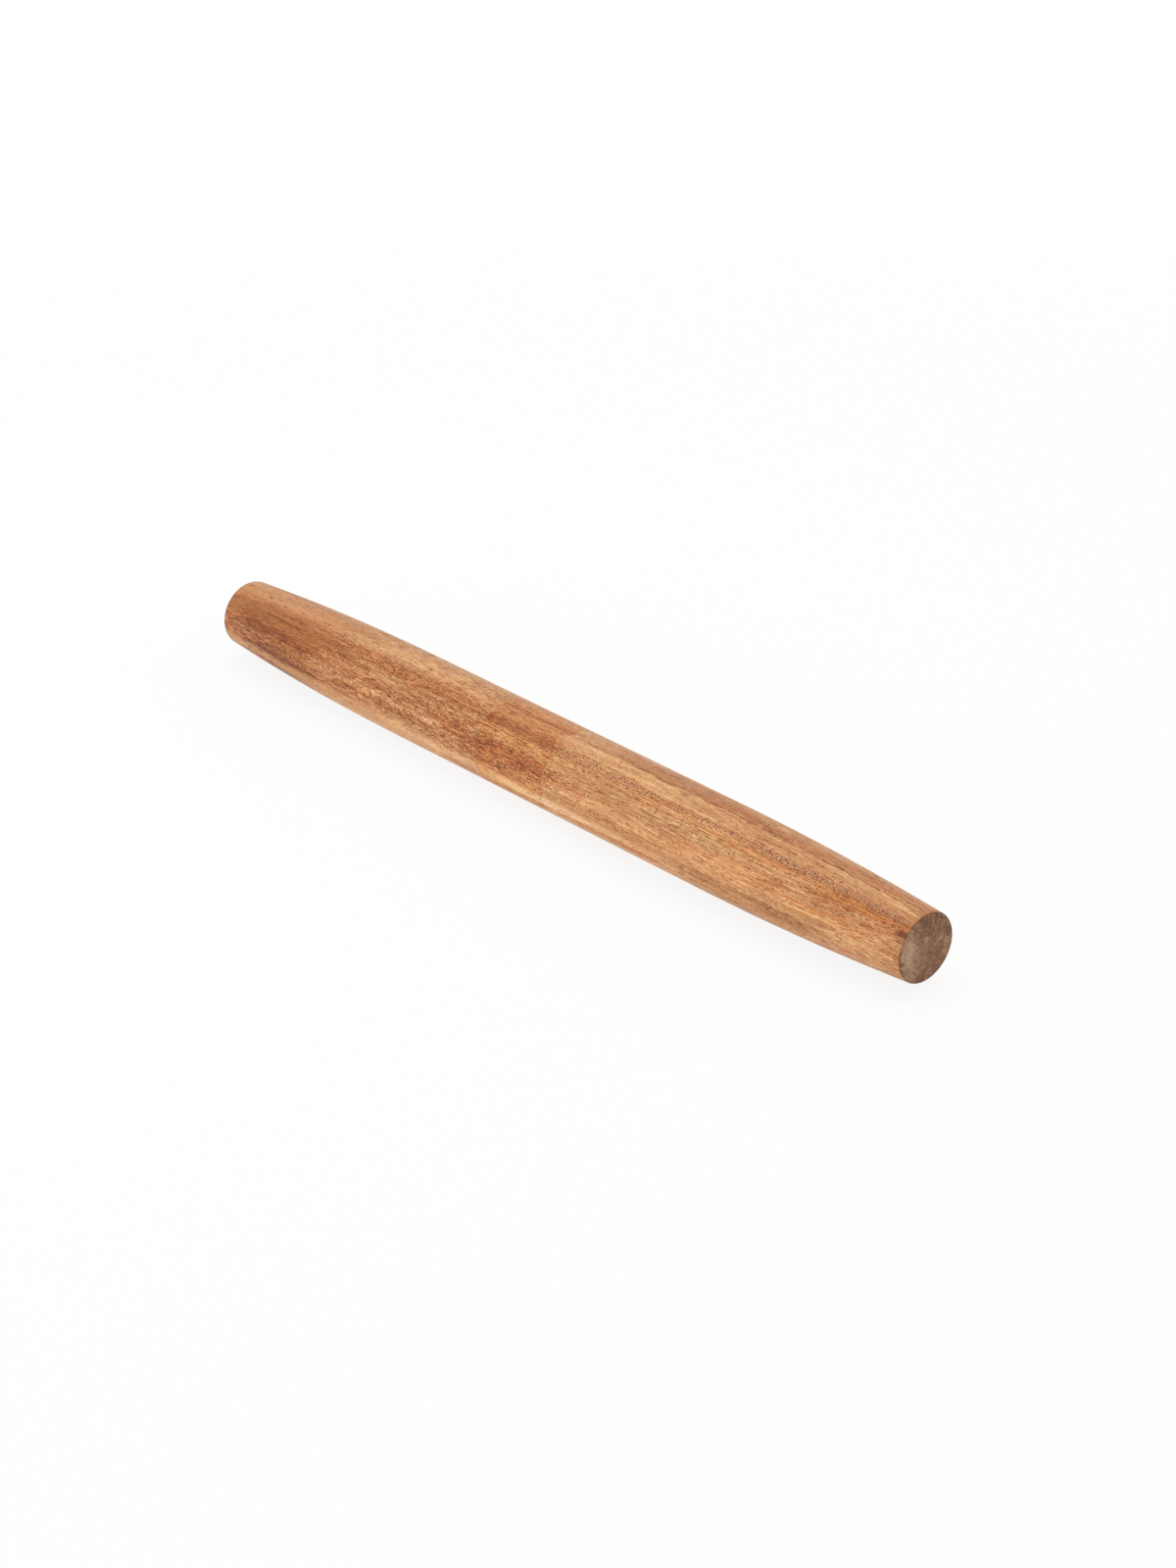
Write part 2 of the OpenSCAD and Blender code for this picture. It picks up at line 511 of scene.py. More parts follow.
    ("brown line before the pale top", -150, -127, 8, 3, 9, 3, -0.045, 0.0),
    ("light line on the belly before the ring", -75, -54, 8, 117, 123, 3, 0.055, -0.2),
    ("light line on the belly past the ring", -34, 9, 6, 117, 123, 3, 0.055, -0.15),
    ("shade along the upper outline by the left end", -230, -178, 12, -50, -21, 5, -0.09, 0.35),
    ("dark rim", 219, 240, 7, -60, 170, 10, -0.05, 0.1),
)

# A row whose fade is no longer than this (mm) starts and ends square to the axis, and the others are ragged
CRISP_FADE = 2

# Where the fine grain is stronger (+) or weaker (-). Each row is: a name, the place as above, and how much
CRISPNESS = (
    ("soft left end", -240, -145, 30, -60, 60, 10, -0.55),
    ("soft left top", -240, -90, 30, 4, 26, 8, -0.25),
    ("soft stretch above the figured band", -150, -40, 30, 26, 60, 8, -0.20),
    ("soft belly", -240, 110, 60, 98, 170, 5, -0.42),
    ("stronger part of the belly", -70, 60, 40, 98, 130, 5, 0.22),
    ("soft tan band", -40, 225, 30, 8, 26, 8, -0.15),
    ("soft top", 30, 225, 30, -60, 5, 6, -0.12),
    ("strong red patch", -60, 16, 30, 58, 97, 6, 0.40),
    ("strong upper side of the tinted stretch", -60, 20, 20, 26, 58, 6, 0.20),
)

# Where pores are denser than elsewhere, in rows of the same kind
DENSER_PORES = (
    ("pored band", -150, -52, 30, 24, 62, 12, 0.38),
    ("upper side of the tinted stretch", -75, 18, 20, 24, 42, 8, 0.30),
    ("red patch", -80, 18, 20, 58, 96, 8, 0.38),
    ("under the ladder", 20, 225, 20, 40, 66, 10, 0.22),
)

# Other places: start, end and fade (mm), lower and upper angle and softness (degrees)
FIGURED_BAND = (-226, -64, 30, 69, 94, 6)
HAIRY = (-160, 60, 40, 24, 84, 10)
PEPPERED = (-150, 24, 30, 20, 86, 10)
RULED = (52, 190, 50, 43, 67, 6)
LADDER = (22, 219, 16, 29.3, 38.5, 2)
FAINT_LADDER = (-30, 26, 12, 28, 39, 3)
BURNT_FLECK = (218.5, 228, 5, 46, 56, 6)
DARKEST_RIM = (180, 240, 4, 72, 128, 12)

# How strong the ladder is in its faint start, and where it is worn most
FAINT_SHARE = 0.45
LEAST_KEPT = 0.20

# Where the curly grain on the left gives way to the straight grain on the right (mm), and by what share the
# short fibres and the wide strands are weaker there
CURLY_TO = -20
STRAIGHT_FROM = 60
SHORT_WEAKER = 0.2
WIDE_WEAKER = 0.6

# The stretch whose finish is a shade darker and redder, how sharply it ends, and the half width of the
# crisp ring at both ends, where it is whole and where it is gone (mm)
TINT_START = -35
TINT_END = 9.5
TINT_EDGE = 0.3
RING_WHOLE = 0.2
RING_GONE = 0.6

# Spacing of the ruled lines (degrees), and of the ladder's lines (degrees) and rungs (mm)
RULED_SPACING = 2.4
LINE_SPACING = 3.1
RUNG_SPACING = 1.8

# How far on in its wave the ladder's lines start (radians)
LINE_START = 0.9

# Distances from the end faces (mm): where the side grain starts to turn into end grain and is done, and
# where the dark rim starts, is at its darkest, starts to fade, and is gone
END_GRAIN_STARTS = 1.0
END_GRAIN_DONE = 0.4
RIM_STARTS = 1.4
RIM_DARKEST = 0.9
RIM_FADES = 0.7
RIM_GONE = 0.2

# Soft spots on an end face, with a name, the place from the centre (mm towards +Y and +Z), the radius (mm),
# and how much lighter (+) or darker (-) it is
END_SPOTS = (
    ("light left side", -12.5, 2.5, 10, 0.27),
    ("light lower left", -10, -7.5, 9, 0.16),
    ("dark top", 1, 13, 11, -0.10),
    ("dark upper right", 8, 9, 7, -0.10),
    ("dark streak on the right", 12, 5, 4.5, -0.10),
    ("light patch under it", 12, 1.5, 4, 0.06),
    ("dark middle", 5, -1, 7, -0.09),
    ("dark lower rim", -3, -15, 4, -0.12),
    ("dark lower right", 7, -8, 4.5, -0.07),
    ("light spot by the lower right", 10.5, -4.5, 3.5, 0.09),
    ("light ray", 8.2, 2.6, 2.2, 0.08),
    ("light spot on the left", -8.6, 4.2, 4, 0.06),
)

# The pith that the rays and rings of the end grain run round (mm towards +Y and +Z), and how far from it
# the rays are as wide as their noise (mm)
PITH = (0.7, -4.5)
RAY_DISTANCE = 10.0

# The way that the saw marks run over an end face (degrees from +Y towards +Z)
SAW_ANGLE = -30


# Figure of the wood: what is scattered

# Kinds of streaks: length and width (mm), and the seed of their noise
STREAKS = {
    "long ragged ends": (40.0, 2.4, 73.0),
    "short ragged ends": (14.0, 0.8, 71.0),
    "wide ragged sides": (26.0, 2.2, 75.0),
    "narrow ragged sides": (7.0, 0.8, 77.0),
    "curly fibres": (6.0, 0.56, 37.9),
    "straight fibres": (26.0, 0.42, 41.3),
    "short fibres": (1.8, 0.33, 51.3),
    "hairs": (0.8, 0.30, 59.0),
    "dark strands": (4.2, 0.42, 55.0),
    "light strands": (5.0, 0.40, 57.0),
    "wide strands": (15.0, 1.1, 23.3),
    "ripples": (3.2, 1.5, 63.0),
    "broad stripes": (200.0, 10.0, 3.1),
    "stripes": (62.0, 3.0, 11.7),
    "long tints": (45.0, 2.4, 81.0),
    "short tints": (6.0, 0.7, 83.0),
    "crowds of pores": (40.0, 6.0, 91.0),
    "slow bends of ruled lines": (70.0, 3.0, 141.0),
    "quick bends of ruled lines": (14.0, 0.9, 143.0),
    "breaks of ruled lines": (16.0, 0.8, 145.0),
    "uneven ticks": (2.0, 1.1, 101.0),
    "uneven rungs": (8.0, 6.0, 103.0),
    "worn parts of the ladder": (10.0, 5.0, 105.0),
    "worn ticks": (1.7, 1.0, 107.0),
    "worn rings": (2.0, 2.0, 131.0),
    "rays": (7.0, 0.9, 111.0),
    "growth rings": (0.9, 9.0, 113.0),
    "saw marks": (7.0, 0.30, 125.0),
    "end speckle": (30.0, 0.40, 115.0),
    "end mottle": (30.0, 1.2, 117.0),
    "end clouds": (30.0, 4.0, 119.0),
    "oil": (12.0, 0.9, 121.0),
    "raised fibres": (5.5, 0.55, 37.9),
}

# What is drawn from a wave or from streaks starts at the first value of them, and is whole at the second
EDGES = {
    "strands": (0.04, 0.12),
    "ruled lines": (0.15, 0.95),
    "unbroken ruled lines": (-0.12, 0.04),
    "rungs and lines": (0.1, 0.9),
    "rungs at crossings": (-0.45, 0.75),
    "lines at crossings": (-0.75, 0.55),
    "unworn ladder": (-0.14, 0.08),
    "unworn ticks": (-0.10, 0.05),
    "unworn rings": (-0.1, 0.15),
}

# How the grain wanders and curls: length and width of its bends and how far they go (mm). The curls go
# LEAST_CURL everywhere, and FIGURED_CURL more in the figured band
WANDERING = {"Length": 110.0, "Width": 24.0, "Amount": 6.0}
CURLING = {"Length": 5.0, "Width": 4.0}
LEAST_CURL = 0.35
FIGURED_CURL = 2.8

# Kinds of pores: length and width (mm), and the seed of their cells
PORES = {
    "short": (2.6, 0.80, 5.0),
    "long": (6.5, 0.75, 6.0),
    "specks": (1.50, 0.56, 7.0),
}

# A pore is whole up to the first distance from its middle and gone past the second, in cells
PORE_WHOLE = 0.20
PORE_GONE = 0.41

# The part of the pores that is as dark as any. The others are fainter
SURE_PORES = 0.6

# Which share of the cells has a pore: everywhere, how much the crowds change it, and the least. The long
# pores are rarer by LONG_PORES. The specks have their own share in the peppered place, and elsewhere follow
# the pores by SPECKS_BY_PORES
PORE_SHARE = 0.22
CROWDING = 1.2
LEAST_PORES = 0.02
LONG_PORES = 0.6
PEPPERED_SPECKS = 0.42
SPECKS_BY_PORES = 0.25

# Colours
SIDE_TONES = (
    (0.34, (110, 54, 14)), (0.39, (128, 69, 21)), (0.42, (138, 78, 29)), (0.475, (155, 94, 44)),
    (0.525, (170, 109, 61)), (0.573, (183, 122, 75)), (0.612, (193, 133, 84)), (0.665, (205, 148, 96)),
    (0.74, (223, 167, 113)), (0.83, (241, 194, 142)), (0.92, (249, 212, 170)),
)
END_TONES = ((0.2, (104, 66, 46)), (0.5, (140, 101, 74)), (0.8, (175, 140, 110)), (1.0, (200, 166, 134)))
REDDER = (255, 231, 198)
MORE_OLIVE = (246, 255, 250)
TINT_COLOUR = (247, 229, 208)
RING_COLOUR = (232, 212, 196)
TICK_COLOUR = (92, 26, 4)
RIM_COLOUR = (88, 50, 34)
FLOOR_COLOUR = (250, 250, 249)

# Tone and hue of the wood where nothing changes them. A hue over 0 is redder, and under 0 more olive
BASE_TONE = 0.618
BASE_HUE = 0.05

# What is laid over the side: its colour, and how strongly it covers
LAYERS = {
    "pores": ((90, 46, 22), 0.75),
    "specks": ((92, 46, 20), 0.90),
    "ruled lines": ((118, 56, 26), 0.60),
    "cells of the ladder": ((240, 190, 138), 0.26),
    "burnt fleck": ((108, 42, 10), 0.90),
}

# How strongly the rim covers, and how much more where it is darkest
RIM_COVER = 0.42
RIM_COVER_MORE = 0.33

# Sheen and relief of the oiled surface
SPECULAR_LEVEL = 0.35
ROUGHNESS = 0.47
RELIEF = 0.03 * MM


# Node groups of the wood

def drawn(tree, place, length, width, seed):
    """A place in mm scaled so that a length along the grain and a width across it are both 1."""
    x, y, z = put(tree, "ShaderNodeSeparateXYZ", place).outputs
    along = calc(tree, "ADD", calc(tree, "DIVIDE", x, length), seed)
    across = calc(tree, "DIVIDE", y, width), calc(tree, "DIVIDE", z, width)
    return put(tree, "ShaderNodeCombineXYZ", along, *across).outputs[0]


def streak_group():
    """Streaks along the grain: noise drawn out to a length and a width, centred on 0."""
    tree, given, result = group("Wood Streaks", ("Place", "Length", "Width", "Seed"), "Streaks")
    at = drawn(tree, given["Place"], given["Length"], given["Width"], given["Seed"])
    noise = put(tree, "ShaderNodeTexNoise", at)
    for label, value in (("Scale", 1.0), ("Detail", 1.0), ("Roughness", 0.55)):
        noise.inputs[label].default_value = value
    feed(tree, result, calc(tree, "SUBTRACT", noise.outputs[0], 0.5))
    return tree


def pore_group():
    """Open pores: one drawn-out dot in each of some cells. Share is how many of the cells have one."""
    tree, given, result = group("Wood Pores", ("Place", "Length", "Width", "Seed", "Share"), "Pores")
    at = drawn(tree, given["Place"], given["Length"], given["Width"], given["Seed"])
    cells = put(tree, "ShaderNodeTexVoronoi", at)
    cells.inputs["Scale"].default_value = 1.0
    chance = put(tree, "ShaderNodeSeparateColor", cells.outputs["Color"]).outputs[0]
    sure = times(tree, given["Share"], SURE_PORES)
    there = smooth(tree, chance, given["Share"], sure)
    near = smooth(tree, cells.outputs["Distance"], PORE_GONE, PORE_WHOLE)
    feed(tree, result, times(tree, near, there))
    return tree


def wander_group():
    """Grain that wanders: the place, moved across the grain by slow noise."""
    tree, given, result = group("Wandering Grain", ("Place", "Length", "Width", "Amount"), "Place")
    at = drawn(tree, given["Place"], given["Length"], given["Width"], 0.0)
    noise = put(tree, "ShaderNodeTexNoise", at)
    for label in ("Scale", "Detail"):
        noise.inputs[label].default_value = 1.0
    shift = vector_calc(tree, "SUBTRACT", noise.outputs["Color"], (0.5, 0.5, 0.5))
    across = vector_calc(tree, "MULTIPLY", shift, (0, 1, 1))
    moved = scaled(tree, across, given["Amount"])
    feed(tree, result, vector_calc(tree, "ADD", given["Place"], moved))
    return tree


def band_group():
    """A placed band: 1 between Start and End along the pin and Low and High round it, with soft edges."""
    labels = ("Along", "Angle", "Start", "End", "Fade", "Low", "High", "Soft")
    tree, given, result = group("Placed Band", labels, "Band")
    total = 1.0
    for value, first, last, soft in (("Along", "Start", "End", "Fade"), ("Angle", "Low", "High", "Soft")):
        half = times(tree, given[soft], 0.5)
        for edge, inwards, outwards in ((first, "ADD", "SUBTRACT"), (last, "SUBTRACT", "ADD")):
            inner = calc(tree, inwards, given[edge], half)
            outer = calc(tree, outwards, given[edge], half)
            total = times(tree, smooth(tree, given[value], outer, inner), total)
    feed(tree, result, total)
    return tree


def spot_group():
    """A tone made lighter or darker by a soft spot, which is whole within a tenth of its radius."""
    tree, given, result = group("Soft Spot", ("Place", "Centre", "Radius", "Lighter", "Tone"), "Tone")
    gap = vector_calc(tree, "DISTANCE", given["Place"], given["Centre"], result="Value")
    spot = smooth(tree, gap, given["Radius"], times(tree, given["Radius"], 0.1))
    feed(tree, result, calc(tree, "MULTIPLY_ADD", spot, given["Lighter"], given["Tone"]))
    return tree


def ring_group():
    """A thin ring square to the axis: 1 within RING_WHOLE of Middle, and 0 past RING_GONE."""
    tree, given, result = group("Crisp Ring", ("Along", "Middle"), "Ring")
    gap = calc(tree, "ABSOLUTE", calc(tree, "SUBTRACT", given["Along"], given["Middle"]))
    feed(tree, result, smooth(tree, gap, RING_GONE, RING_WHOLE))
    return tree


# Wood

class Wood:
    """The wood at a point: where it lies, and the streaks, pores and placed bands there, as node outputs.

    x, y and z are in mm and angle in degrees. place is the point itself, grain is the point moved with
    the wandering grain, and curl moves it with the curly grain as well, most in the figured band.
    """

    def __init__(self, tree):
        self.tree = tree
        self.streak_kind = streak_group()
        self.pore_kind = pore_group()
        wander = wander_group()
        self.band_kind = band_group()
        self.place = scaled(tree, put(tree, "ShaderNodeTexCoord").outputs["Object"], 1 / MM)
        self.x, self.y, self.z = put(tree, "ShaderNodeSeparateXYZ", self.place).outputs
        turn = calc(tree, "ARCTAN2", times(tree, self.y, -1.0), self.z)
        self.angle = calc(tree, "DEGREES", turn)
        self.grain = use(tree, wander, Place=self.place, **WANDERING)

        # Ragged ends (mm) and sides (degrees) for the placed bands
        self.ragged_x = weighted(tree, [
            (1.0, self.x),
            (34.0, self.streaks("short ragged ends")),
            (30.0, self.streaks("long ragged ends")),
        ])
        self.ragged_angle = weighted(tree, [
            (1.0, self.angle),
            (9.0, self.streaks("wide ragged sides")),
            (7.0, self.streaks("narrow ragged sides")),
        ])

        self.figured = self.clean_band(*FIGURED_BAND)
        amount = calc(tree, "MULTIPLY_ADD", self.figured, FIGURED_CURL, LEAST_CURL)
        self.curl = use(tree, wander, Place=self.grain, Amount=amount, **CURLING)

    def streaks(self, kind, at=None):
        """Streaks of a kind, from about -0.5 to 0.5, along the wandering grain or at another place."""
        length, width, seed = STREAKS[kind]
        at = self.grain if at is None else at
        return use(self.tree, self.streak_kind, Place=at, Length=length, Width=width, Seed=seed)

    def pores(self, kind, share, at=None):
        """Pores of a kind, in a share of the cells that can have one."""
        length, width, seed = PORES[kind]
        at = self.grain if at is None else at
        return use(self.tree, self.pore_kind, Place=at, Length=length, Width=width, Seed=seed, Share=share)

    def band(self, start, end, fade, low, high, soft, along=None, turn=None):
        """A placed band, with ragged ends and sides unless the distance and angle are given."""
        along = self.ragged_x if along is None else along
        turn = self.ragged_angle if turn is None else turn
        ends = {"Along": along, "Angle": turn, "Start": start, "End": end, "Fade": fade}
        return use(self.tree, self.band_kind, **ends, Low=low, High=high, Soft=soft)

    def clean_band(self, *place):
        """A placed band with clean ends and sides."""
        return self.band(*place, along=self.x, turn=self.angle)


def edged(tree, kind, value):
    """1 where a wave or streaks are high enough for one of EDGES."""
    return smooth(tree, value, *EDGES[kind])


def laid(tree, kind, mask, below):
    """A colour with one of LAYERS over it."""
    colour, cover = LAYERS[kind]
    return blend(tree, times(tree, mask, cover), below, colour)


def side_grain(wood):
    """Colour of the turned side before its pores: fibres, stripes and the placed figure, with its painted
    sheen and painted bounce light.
    """
    tree = wood.tree

    # Fibres: curly on the left, and long and straight on the right
    straight = smooth(tree, wood.x, CURLY_TO, STRAIGHT_FROM)
    curly = wood.streaks("curly fibres", at=wood.curl)
    fibres = weighted(tree, [
        (1.0, times(tree, curly, calc(tree, "SUBTRACT", 1.0, straight))),
        (1.0, times(tree, wood.streaks("straight fibres"), straight)),
    ])

    # The short fibres and the wide strands are weaker where the grain is straight
    short = wood.streaks("short fibres", at=wood.curl)
    short = times(tree, short, calc(tree, "MULTIPLY_ADD", straight, -SHORT_WEAKER, 1.0))
    hairs = times(tree, wood.streaks("hairs", at=wood.curl), wood.band(*HAIRY))
    dark_strands = edged(tree, "strands", wood.streaks("dark strands", at=wood.curl))
    light_strands = edged(tree, "strands", wood.streaks("light strands", at=wood.curl))
    wide = wood.streaks("wide strands")
    wide = times(tree, wide, calc(tree, "MULTIPLY_ADD", straight, -WIDE_WEAKER, 1.0))
    ripples = times(tree, wood.figured, wood.streaks("ripples", at=wood.curl))
    fine = weighted(tree, [
        (0.44, fibres),
        (0.46, short),
        (0.30, hairs),
        (-0.10, dark_strands),
        (0.06, light_strands),
        (0.20, wide),
        (0.34, ripples),
    ])
    crisper = [(more, wood.band(*place)) for _, *place, more in CRISPNESS]
    crisp = weighted(tree, [(1.0, 1.0), *crisper])
    tone = weighted(tree, [
        (1.0, BASE_TONE),
        (0.14, wood.streaks("broad stripes")),
        (0.16, wood.streaks("stripes")),
        (1.0, times(tree, fine, crisp)),
    ])
    hue = weighted(tree, [
        (1.0, BASE_HUE),
        (2.2, wood.streaks("long tints")),
        (1.6, wood.streaks("short tints")),
        (-1.2, fibres),
    ])
    for _, start, end, fade, low, high, soft, lighter, redder in FIGURE:
        along = wood.x if fade <= CRISP_FADE else wood.ragged_x
        mask = wood.band(start, end, fade, low, high, soft, along=along)
        tone = calc(tree, "MULTIPLY_ADD", mask, lighter, tone)
        hue = calc(tree, "MULTIPLY_ADD", mask, redder, hue)
    side = tones(tree, tone, SIDE_TONES)
    side = blend(tree, times(tree, hue, 1.0, clamp=True), side, REDDER, how="MULTIPLY")
    return blend(tree, times(tree, hue, -1.0, clamp=True), side, MORE_OLIVE, how="MULTIPLY")


def pored(wood, side):
    """The side with its pores, short dark flecks that are dense in some places, and the pores' mask."""
    tree = wood.tree
    crowd = calc(tree, "MULTIPLY_ADD", wood.streaks("crowds of pores"), CROWDING, PORE_SHARE)
    denser = [(more, wood.clean_band(*place)) for _, *place, more in DENSER_PORES]
    dense = calc(tree, "MAXIMUM", weighted(tree, [(1.0, crowd), *denser]), LEAST_PORES)
    short = wood.pores("short", dense)
    long = wood.pores("long", times(tree, dense, LONG_PORES), at=wood.curl)
    fleck = calc(tree, "MAXIMUM", short, long)
    peppered = weighted(tree, [(SPECKS_BY_PORES, dense), (PEPPERED_SPECKS, wood.clean_band(*PEPPERED))])
    specks = wood.pores("specks", peppered, at=wood.curl)
    return laid(tree, "pores", fleck, laid(tree, "specks", specks, side)), fleck


def ruled(wood, side):
    """The side with its fine parallel lines, which bend a little and break here and there."""
    tree = wood.tree
    turn = calc(tree, "RADIANS", wood.angle)
    slow, quick = wood.streaks("slow bends of ruled lines"), wood.streaks("quick bends of ruled lines")
    wave = calc(tree, "SINE", weighted(tree, [(360 / RULED_SPACING, turn), (6.0, slow), (2.5, quick)]))
    lines = edged(tree, "ruled lines", wave)
    unbroken = edged(tree, "unbroken ruled lines", wood.streaks("breaks of ruled lines"))
    lines = times(tree, lines, unbroken)
    lines = times(tree, lines, wood.band(*RULED))
    return laid(tree, "ruled lines", lines, side)


def laddered(wood, side):
    """The side with its ladder: short ticks across the grain, joined by three fine lines.

    It is darkest where rungs and lines cross, and a little lighter than the wood in its cells.
    """
    tree = wood.tree
    uneven = wood.streaks("uneven ticks")
    rung_turn = weighted(tree, [
        (2 * math.pi / RUNG_SPACING, wood.x), (17.0, uneven), (18.0, wood.streaks("uneven rungs")),
    ])
    rungs = calc(tree, "SINE", rung_turn)
    line_turn = weighted(tree, [(2 * math.pi / LINE_SPACING, wood.angle), (7.0, uneven), (1.0, LINE_START)])
    lines = calc(tree, "SINE", line_turn)
    on_rung = edged(tree, "rungs at crossings", rungs)
    on_line = edged(tree, "lines at crossings", lines)
    dark = weighted(tree, [
        (0.46, edged(tree, "rungs and lines", rungs)),
        (0.24, edged(tree, "rungs and lines", lines)),
        (0.58, times(tree, on_rung, on_line)),
    ])
    kept = weighted(tree, [
        (0.50, edged(tree, "unworn ladder", wood.streaks("worn parts of the ladder"))),
        (0.55, edged(tree, "unworn ticks", wood.streaks("worn ticks"))),
        (1.0, LEAST_KEPT),
    ])
    faint = times(tree, wood.band(*FAINT_LADDER), FAINT_SHARE)
    ladder = calc(tree, "MAXIMUM", wood.clean_band(*LADDER), faint)
    ladder = times(tree, kept, ladder, clamp=True)
    side = laid(tree, "cells of the ladder", ladder, side)
    return blend(tree, times(tree, dark, ladder, clamp=True), side, TICK_COLOUR)


def tinted(wood, side):
    """The side with the tinted stretch of its finish, and the worn rings at both ends of it."""
    tree = wood.tree
    after_start = smooth(tree, wood.x, TINT_START - TINT_EDGE, TINT_START + TINT_EDGE)
    before_end = smooth(tree, wood.x, TINT_END + TINT_EDGE, TINT_END - TINT_EDGE)
    side = blend(tree, times(tree, after_start, before_end), side, TINT_COLOUR, how="MULTIPLY")
    ring = ring_group()
    both = [use(tree, ring, Along=wood.x, Middle=middle) for middle in (TINT_START, TINT_END)]
    rings = calc(tree, "MAXIMUM", *both)
    unworn = edged(tree, "unworn rings", wood.streaks("worn rings"))
    rings = times(tree, rings, unworn)
    return blend(tree, rings, side, RING_COLOUR, how="MULTIPLY")


def end_grain(wood):
    """Colour of an end face: rays from the pith, faint rings round it, saw marks, speckle, soft spots."""
    tree = wood.tree
    flat = put(tree, "ShaderNodeCombineXYZ", 0.0, wood.y, wood.z).outputs[0]
    out = vector_calc(tree, "SUBTRACT", flat, (0, *PITH))
    far = vector_calc(tree, "LENGTH", out, result="Value")
    way = vector_calc(tree, "NORMALIZE", out)
    _, way_y, way_z = put(tree, "ShaderNodeSeparateXYZ", way).outputs
    slope = math.radians(SAW_ANGLE)
    along_cut = weighted(tree, [(math.cos(slope), wood.y), (math.sin(slope), wood.z)])
    across_cut = weighted(tree, [(-math.sin(slope), wood.y), (math.cos(slope), wood.z)])
    sawn = put(tree, "ShaderNodeCombineXYZ", along_cut, across_cut, 0.0).outputs[0]
    round_pith = (times(tree, share, RAY_DISTANCE) for share in (way_y, way_z))
    radial = put(tree, "ShaderNodeCombineXYZ", far, *round_pith).outputs[0]
    tone = weighted(tree, [
        (1.0, 0.5),
        (0.55, wood.streaks("rays", at=radial)),
        (0.35, wood.streaks("growth rings", at=radial)),
        (0.60, wood.streaks("saw marks", at=sawn)),
        (0.65, wood.streaks("end speckle", at=wood.place)),
        (0.40, wood.streaks("end mottle", at=wood.place)),
        (0.45, wood.streaks("end clouds", at=wood.place)),
    ])
    spot = spot_group()
    for _, spot_y, spot_z, radius, lighter in END_SPOTS:
        centre = (0, spot_y, spot_z)
        tone = use(tree, spot, Place=flat, Centre=centre, Radius=radius, Lighter=lighter, Tone=tone)
    return tones(tree, tone, END_TONES)


def hardwood():
    """Oiled hardwood: long side grain, end grain on the two faces, and a dark rim between them, darkest from
    72 to 128 degrees round.
    """
    material = bpy.data.materials.new("oiled_hardwood")
    tree = empty_tree(material)
    wood = Wood(tree)
    side, fleck = pored(wood, side_grain(wood))
    side = tinted(wood, laddered(wood, ruled(wood, side)))
    side = laid(tree, "burnt fleck", wood.clean_band(*BURNT_FLECK), side)

    end = end_grain(wood)
    half_length = PIN_END / MM
    cut = calc(tree, "ABSOLUTE", wood.x)
    ends = smooth(tree, cut, half_length - END_GRAIN_STARTS, half_length - END_GRAIN_DONE)
    colour = blend(tree, ends, side, end)
    rim_starts = smooth(tree, cut, half_length - RIM_STARTS, half_length - RIM_DARKEST)
    rim_ends = smooth(tree, cut, half_length - RIM_GONE, half_length - RIM_FADES)
    rim = times(tree, rim_starts, rim_ends)
    cover = calc(tree, "MULTIPLY_ADD", wood.clean_band(*DARKEST_RIM), RIM_COVER_MORE, RIM_COVER)
    colour = blend(tree, times(tree, rim, cover), colour, RIM_COLOUR)

    surface = put(tree, "ShaderNodeBsdfPrincipled")
    surface.inputs["Specular IOR Level"].default_value = SPECULAR_LEVEL
    feed(tree, surface.inputs["Base Color"], colour)
    rough = weighted(tree, [(1.0, ROUGHNESS), (0.3, wood.streaks("oil")), (0.2, fleck), (0.25, ends)])
    feed(tree, surface.inputs["Roughness"], rough)

    # The relief keeps to few nodes: raised fibres, and the short pores where they are commonest
    bump = put(tree, "ShaderNodeBump")
    height = weighted(tree, [(1.0, wood.streaks("raised fibres")), (-0.6, wood.pores("short", 0.4))])
    feed(tree, bump.inputs["Height"], height)
    bump.inputs["Strength"].default_value = 1.0
    bump.inputs["Distance"].default_value = RELIEF
    feed(tree, surface.inputs["Normal"], bump.outputs[0])
    put(tree, "ShaderNodeOutputMaterial", surface.outputs[0])
    return material


# Stage

def background_rays(tree):
    """1 for rays that look at the background: the camera's, and those reflected or let through."""
    path = put(tree, "ShaderNodeLightPath").outputs
    mirrored = calc(tree, "MAXIMUM", path["Is Glossy Ray"], path["Is Transmission Ray"])
    return calc(tree, "MAXIMUM", path["Is Camera Ray"], mirrored)


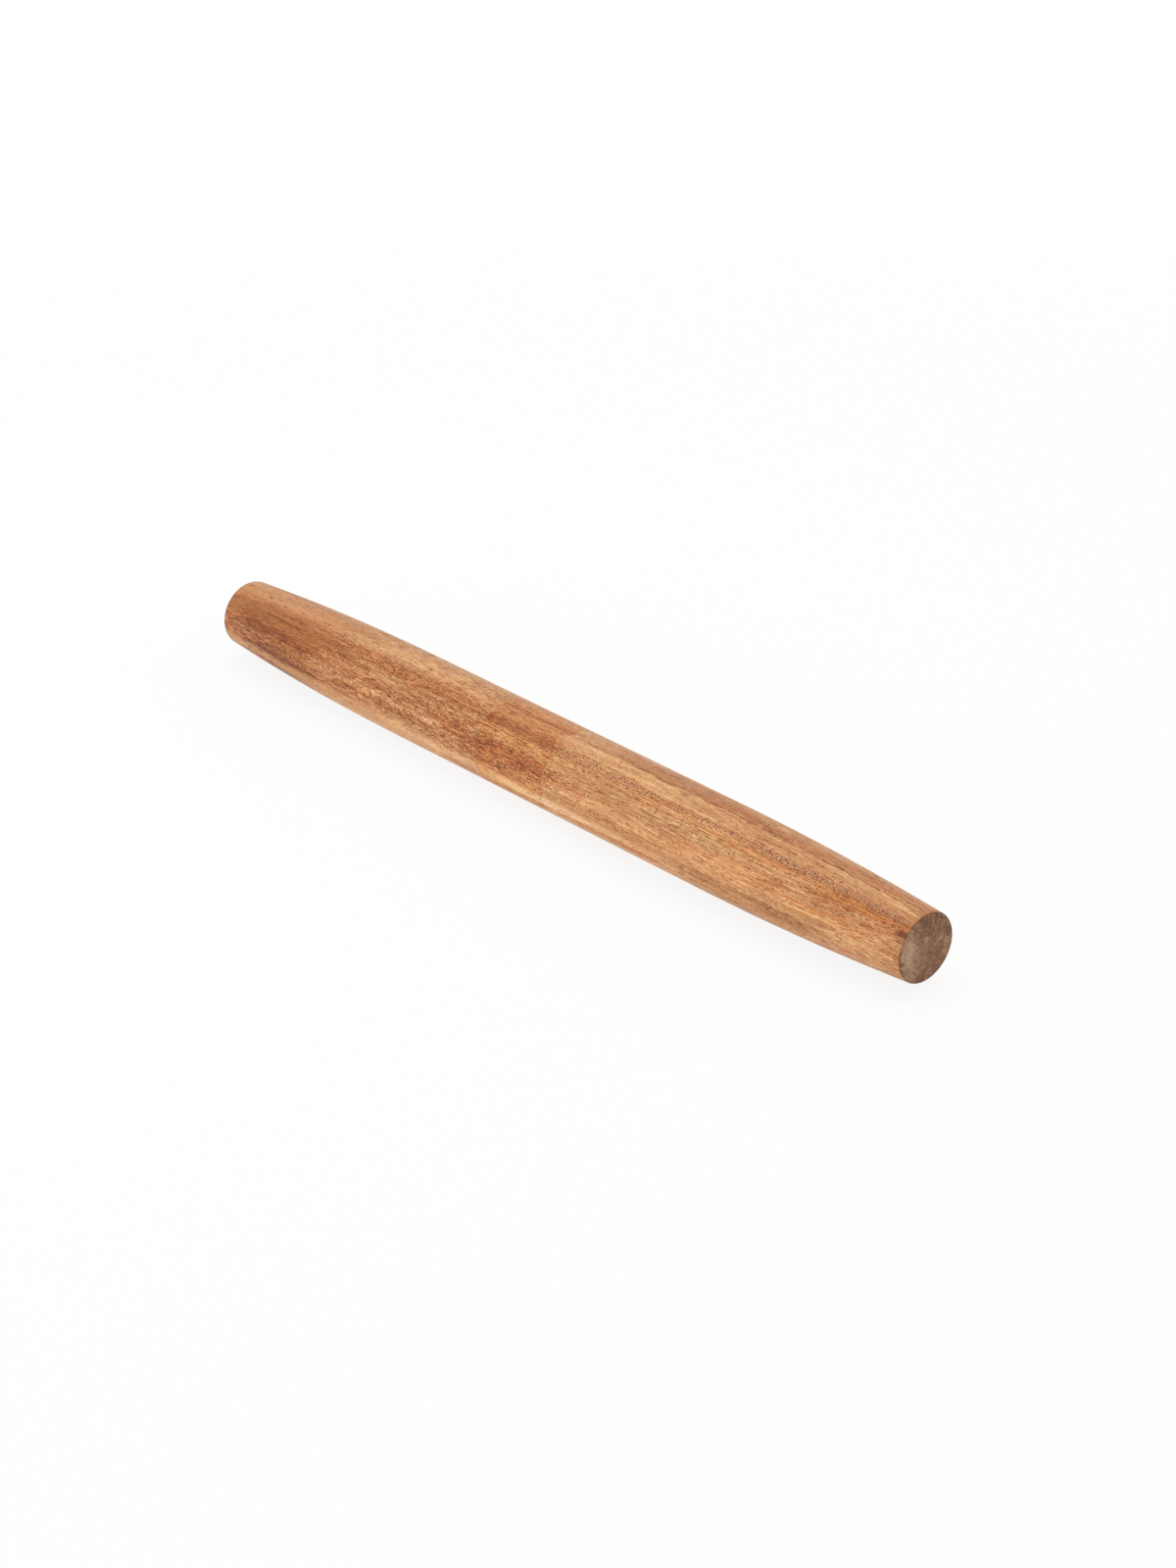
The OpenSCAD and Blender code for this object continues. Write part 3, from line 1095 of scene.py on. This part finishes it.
def floor():
    """A wide pale floor under the pin. The camera sees it as near white, with the pin's soft shadow."""
    mesh = bpy.data.meshes.new("floor")
    corners = [(-1, -1), (1, -1), (1, 1), (-1, 1)]
    points = [(FLOOR_HALF * x, FLOOR_HALF * y, -BARREL_R) for x, y in corners]
    mesh.from_pydata(points, [], [(0, 1, 2, 3)])
    mesh.update()
    plane = add_object("floor", mesh)
    material = bpy.data.materials.new("pale_floor")
    tree = empty_tree(material)
    matt = put(tree, "ShaderNodeBsdfDiffuse", linear(FLOOR_COLOUR)).outputs[0]
    white = put(tree, "ShaderNodeEmission", WHITE, 1.0).outputs[0]
    from_pin = vector_calc(tree, "LENGTH", put(tree, "ShaderNodeTexCoord").outputs["Object"], result="Value")
    glow = smooth(tree, from_pin, GLOW_STARTS, GLOW_WHOLE)
    glow = calc(tree, "MULTIPLY_ADD", glow, 1 - GLOW_AT_PIN, GLOW_AT_PIN)
    share = times(tree, background_rays(tree), glow)
    above = put(tree, "ShaderNodeMixShader", share, matt, white).outputs[0]
    # From below, the floor can be looked through
    below = put(tree, "ShaderNodeNewGeometry").outputs["Backfacing"]
    clear = put(tree, "ShaderNodeBsdfTransparent").outputs[0]
    both = put(tree, "ShaderNodeMixShader", below, above, clear).outputs[0]
    put(tree, "ShaderNodeOutputMaterial", both)
    mesh.materials.append(material)


def sky():
    """Even white light from all round, which the camera sees as white."""
    world = bpy.data.worlds.new("white_room")
    bpy.context.scene.world = world
    tree = empty_tree(world)
    strength = calc(tree, "MULTIPLY_ADD", background_rays(tree), 1 - SKY_LIGHT, SKY_LIGHT)
    light = put(tree, "ShaderNodeBackground", WHITE, strength).outputs[0]
    put(tree, "ShaderNodeOutputWorld", light)


def lamps():
    """The rectangular lamps of LAMPS."""
    for name, place, width, height, power in LAMPS:
        lamp = bpy.data.lights.new(name, "AREA")
        lamp.shape = "RECTANGLE"
        lamp.size, lamp.size_y, lamp.energy = width, height, power
        facing = (-Vector(place)).to_track_quat("-Z", "Y")
        add_object(name, lamp).matrix_world = Matrix.Translation(place) @ facing.to_matrix().to_4x4()


def camera():
    """The photograph's camera: level, and aimed so that the pin sits where it does in the frame."""
    azimuth, elevation = math.radians(CAMERA_AZIMUTH), math.radians(CAMERA_ELEVATION)
    level = math.cos(elevation)
    away = Vector((math.sin(azimuth) * level, -math.cos(azimuth) * level, math.sin(elevation)))
    lens = bpy.data.cameras.new("camera")
    lens.lens, lens.sensor_width = CAMERA_LENS, SENSOR
    lens.clip_start, lens.clip_end = CLIP_START, CLIP_END
    holder = add_object("camera", lens)
    holder.location = Vector(CAMERA_AIM) + away * CAMERA_DISTANCE
    holder.rotation_mode = "QUATERNION"
    holder.rotation_quaternion = (-away).to_track_quat("-Z", "Y")
    bpy.context.scene.camera = holder


camera()
sky()
floor()
lamps()
bpy.context.scene.view_settings.view_transform = "Standard"

pin = turned_pin()
pin.data.materials.append(hardwood())
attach(pin, "root")
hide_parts("rolling_pin")
